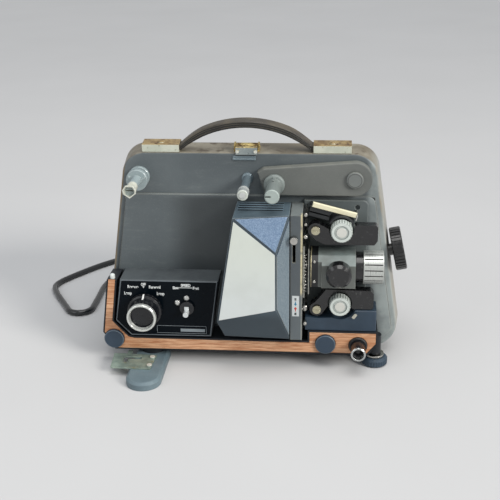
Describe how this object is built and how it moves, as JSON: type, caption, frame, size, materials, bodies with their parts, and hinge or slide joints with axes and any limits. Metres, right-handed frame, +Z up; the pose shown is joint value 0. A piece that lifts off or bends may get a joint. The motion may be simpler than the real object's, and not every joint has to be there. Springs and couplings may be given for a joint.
{
  "type": "movie projector",
  "caption": "Portable cine film projector in its carrying case, with folding reel arm, faceted lamp house, film path, lens, wood-trimmed controls, swing foot and mains cord.",
  "frame": {"origin": "on the table, under the middle of the projector without its cord", "axes": "+Z up, +X to the lens side, -Y towards the operator who faces the controls"},
  "size_m": [0.3699, 0.3158, 0.2193],
  "materials": {
    "case": "fine-textured dark grey enamel",
    "cover": "fine-textured dark grey enamel",
    "chassis": "zinc plated",
    "housing": "satin",
    "facia": "gloss",
    "moulding": "satin",
    "wood": "satin wood-grain foil",
    "lamp_house": "fine-textured enamel",
    "front_plate": "satin",
    "lamp": "clear with coated reflector",
    "plated_steel": "polished",
    "nylon": "translucent white",
    "grip": "bright turned",
    "glass": "coated",
    "arm": "fine-textured enamel",
    "spindle": "satin grey",
    "post": "blackened",
    "strap": "worn",
    "brass": "tarnished plate",
    "rubber": "matt",
    "foot": "worn grey enamel",
    "zinc": "zinc plated",
    "flex": "soft sheen"
  },
  "bodies": {
    "projector": {"case_frame": "case", "rear_cover": "cover", "chassis_plate": "chassis", "control_box": "housing", "control_panel": "facia", "base_moulding": "moulding", "wood_trim": "wood", "base_fittings": "moulding", "lamp_house": "lamp_house", "lamp_house_plates": "front_plate", "lamp": "lamp", "gate_cover": "lamp_house", "film_gate": "plated_steel", "film_path_panel": "housing", "lower_housing": "housing", "film_guide": "housing", "screws": "plated_steel", "lens_holder": "housing", "arm_pivot_pin": "arm", "guide_post": "post", "handle_strap": "strap", "handle_brackets": "brass", "latch_plates": "brass", "motor": "chassis", "drive_belt": "rubber", "rear_feet": "rubber", "cord_gland": "rubber", "power_cord": "flex", "cord_coil": "flex", "plug": "flex"},
    "supply_arm": {"reel_arm": "arm"},
    "supply_spindle": {"arm_spindle": "spindle"},
    "takeup": {"takeup_spindle": "nylon"},
    "post_roller": {"guide_roller": "spindle"},
    "latch": {"latch_hook": "plated_steel"},
    "mechanism": {"main_shaft": "plated_steel", "shutter_disc": "chassis"},
    "claw": {"claw_arm": "plated_steel"},
    "motor_rotor": {"motor_fan": "spindle"},
    "inching": {"inching_knob": "facia"},
    "feed_sprocket": {"upper_sprocket": "nylon"},
    "hold_sprocket": {"lower_sprocket": "nylon"},
    "upper_lever": {"upper_guide_lever": "facia"},
    "lower_lever": {"lower_guide_lever": "facia"},
    "focus": {"focus_knob": "facia"},
    "lens": {"lens_barrel": "facia", "lens_glass": "glass"},
    "lens_ring": {"lens_grip_ring": "grip"},
    "framing": {"framing_knob": "plated_steel"},
    "film_format": {"format_lever": "plated_steel"},
    "dial": {"mode_dial": "facia"},
    "speed": {"speed_lever": "facia"},
    "button": {"rewind_button": "facia"},
    "front_foot": {"swing_foot": "foot", "foot_latch_plate": "zinc"},
    "elevation_foot": {"foot_pad": "rubber"},
    "foot_screw": {"elevation_screw": "zinc"}
  },
  "joints": [
    {"name": "supply_arm_swing", "type": "hinge", "parent": "projector", "child": "supply_arm", "pos_m": [0.0889, -0.01725, 0.1718], "axis": [0, 1, 0], "range_deg": [0, 150]},
    {"name": "supply_spindle_spin", "type": "hinge", "parent": "supply_arm", "child": "supply_spindle", "pos_m": [0.0202, -0.01725, 0.1672], "axis": [0, -1, 0], "continuous": true},
    {"name": "takeup_spindle_spin", "type": "hinge", "parent": "projector", "child": "takeup", "pos_m": [-0.099, -0.00825, 0.1702], "axis": [0, -1, 0], "continuous": true},
    {"name": "guide_roller_spin", "type": "hinge", "parent": "projector", "child": "post_roller", "pos_m": [-0.0037, -0.05725, 0.1698], "axis": [0, -1, 0], "continuous": true},
    {"name": "latch_swing", "type": "hinge", "parent": "projector", "child": "latch", "pos_m": [-0.0043, -0.00227, 0.19725], "axis": [-1, 0, 0], "range_deg": [0, 100]},
    {"name": "main_shaft_spin", "type": "hinge", "parent": "projector", "child": "mechanism", "pos_m": [0.0474, 0.00375, 0.0953], "axis": [1, 0, 0], "continuous": true},
    {"name": "claw_stroke", "type": "slide", "parent": "projector", "child": "claw", "axis": [0, 0, 1], "range_m": [-0.0021, 0.0021]},
    {"name": "motor_spin", "type": "hinge", "parent": "projector", "child": "motor_rotor", "pos_m": [-0.0326, 0.04375, 0.049], "axis": [1, 0, 0], "continuous": true},
    {"name": "inching_spin", "type": "hinge", "parent": "projector", "child": "inching", "pos_m": [0.12968, 0.00375, 0.10168], "axis": [0.9763, 0, 0.2164], "continuous": true},
    {"name": "upper_sprocket_spin", "type": "hinge", "parent": "projector", "child": "feed_sprocket", "pos_m": [0.0784, -0.00825, 0.132], "axis": [0, -1, 0], "continuous": true},
    {"name": "lower_sprocket_spin", "type": "hinge", "parent": "projector", "child": "hold_sprocket", "pos_m": [0.0784, -0.00825, 0.0628], "axis": [0, -1, 0], "continuous": true},
    {"name": "upper_lever_swing", "type": "hinge", "parent": "projector", "child": "upper_lever", "pos_m": [0.0562, -0.03225, 0.1311], "axis": [0, 1, 0], "range_deg": [0, 5], "stiffness_Nm_per_rad": 0.5},
    {"name": "lower_lever_swing", "type": "hinge", "parent": "projector", "child": "lower_lever", "pos_m": [0.0581, -0.03225, 0.0565], "axis": [0, -1, 0], "range_deg": [0, 5], "stiffness_Nm_per_rad": 0.5},
    {"name": "lens_focus_slide", "type": "slide", "parent": "projector", "child": "lens", "axis": [1, 0, 0], "range_m": [0, 0.006]},
    {"name": "focus_knob_turn", "type": "hinge", "parent": "projector", "child": "focus", "pos_m": [0.0767, -0.05325, 0.0963], "axis": [0, -1, 0], "range_deg": [0, 115]},
    {"name": "lens_ring_turn", "type": "hinge", "parent": "lens", "child": "lens_ring", "pos_m": [0.098, -0.02625, 0.0953], "axis": [1, 0, 0], "range_deg": [-60, 60]},
    {"name": "framing_slide", "type": "slide", "parent": "projector", "child": "framing", "axis": [0, 0, 1], "range_m": [-0.018, 0]},
    {"name": "format_slide", "type": "slide", "parent": "projector", "child": "film_format", "axis": [0, 0, 1], "range_m": [0, 0.005]},
    {"name": "mode_dial_turn", "type": "hinge", "parent": "projector", "child": "dial", "pos_m": [-0.0951, -0.05625, 0.0545], "axis": [0, -1, 0], "range_deg": [-50, 50]},
    {"name": "speed_turn", "type": "hinge", "parent": "projector", "child": "speed", "pos_m": [-0.0572, -0.03625, 0.0569], "axis": [0, -1, 0], "range_deg": [-35, 35]},
    {"name": "button_press", "type": "slide", "parent": "projector", "child": "button", "axis": [0, 1, 0], "range_m": [0, 0.004], "stiffness_N_per_m": 250},
    {"name": "front_foot_swing", "type": "hinge", "parent": "projector", "child": "front_foot", "pos_m": [-0.0926, -0.02225, 0], "axis": [0, 0, 1], "range_deg": [0, 90]},
    {"name": "elevation_travel", "type": "slide", "parent": "projector", "child": "elevation_foot", "axis": [0, 0, 1], "range_m": [-0.008, 0]},
    {"name": "foot_screw_turn", "type": "hinge", "parent": "elevation_foot", "child": "foot_screw", "pos_m": [0.1109, -0.02425, 0], "axis": [0, 0, 1], "range_deg": [-1925, 0]}
  ],
  "couplings": [
    {"joint": "main_shaft_spin", "follows": "motor_spin", "ratio": 0.5},
    {"joint": "inching_spin", "follows": "motor_spin", "ratio": 0.5},
    {"joint": "upper_sprocket_spin", "follows": "motor_spin", "ratio": 0.020833},
    {"joint": "lower_sprocket_spin", "follows": "motor_spin", "ratio": 0.020833},
    {"joint": "focus_knob_turn", "follows": "lens_focus_slide", "rad_per_m": 333.33},
    {"joint": "foot_screw_turn", "follows": "elevation_travel", "rad_per_m": 4188.8}
  ]
}
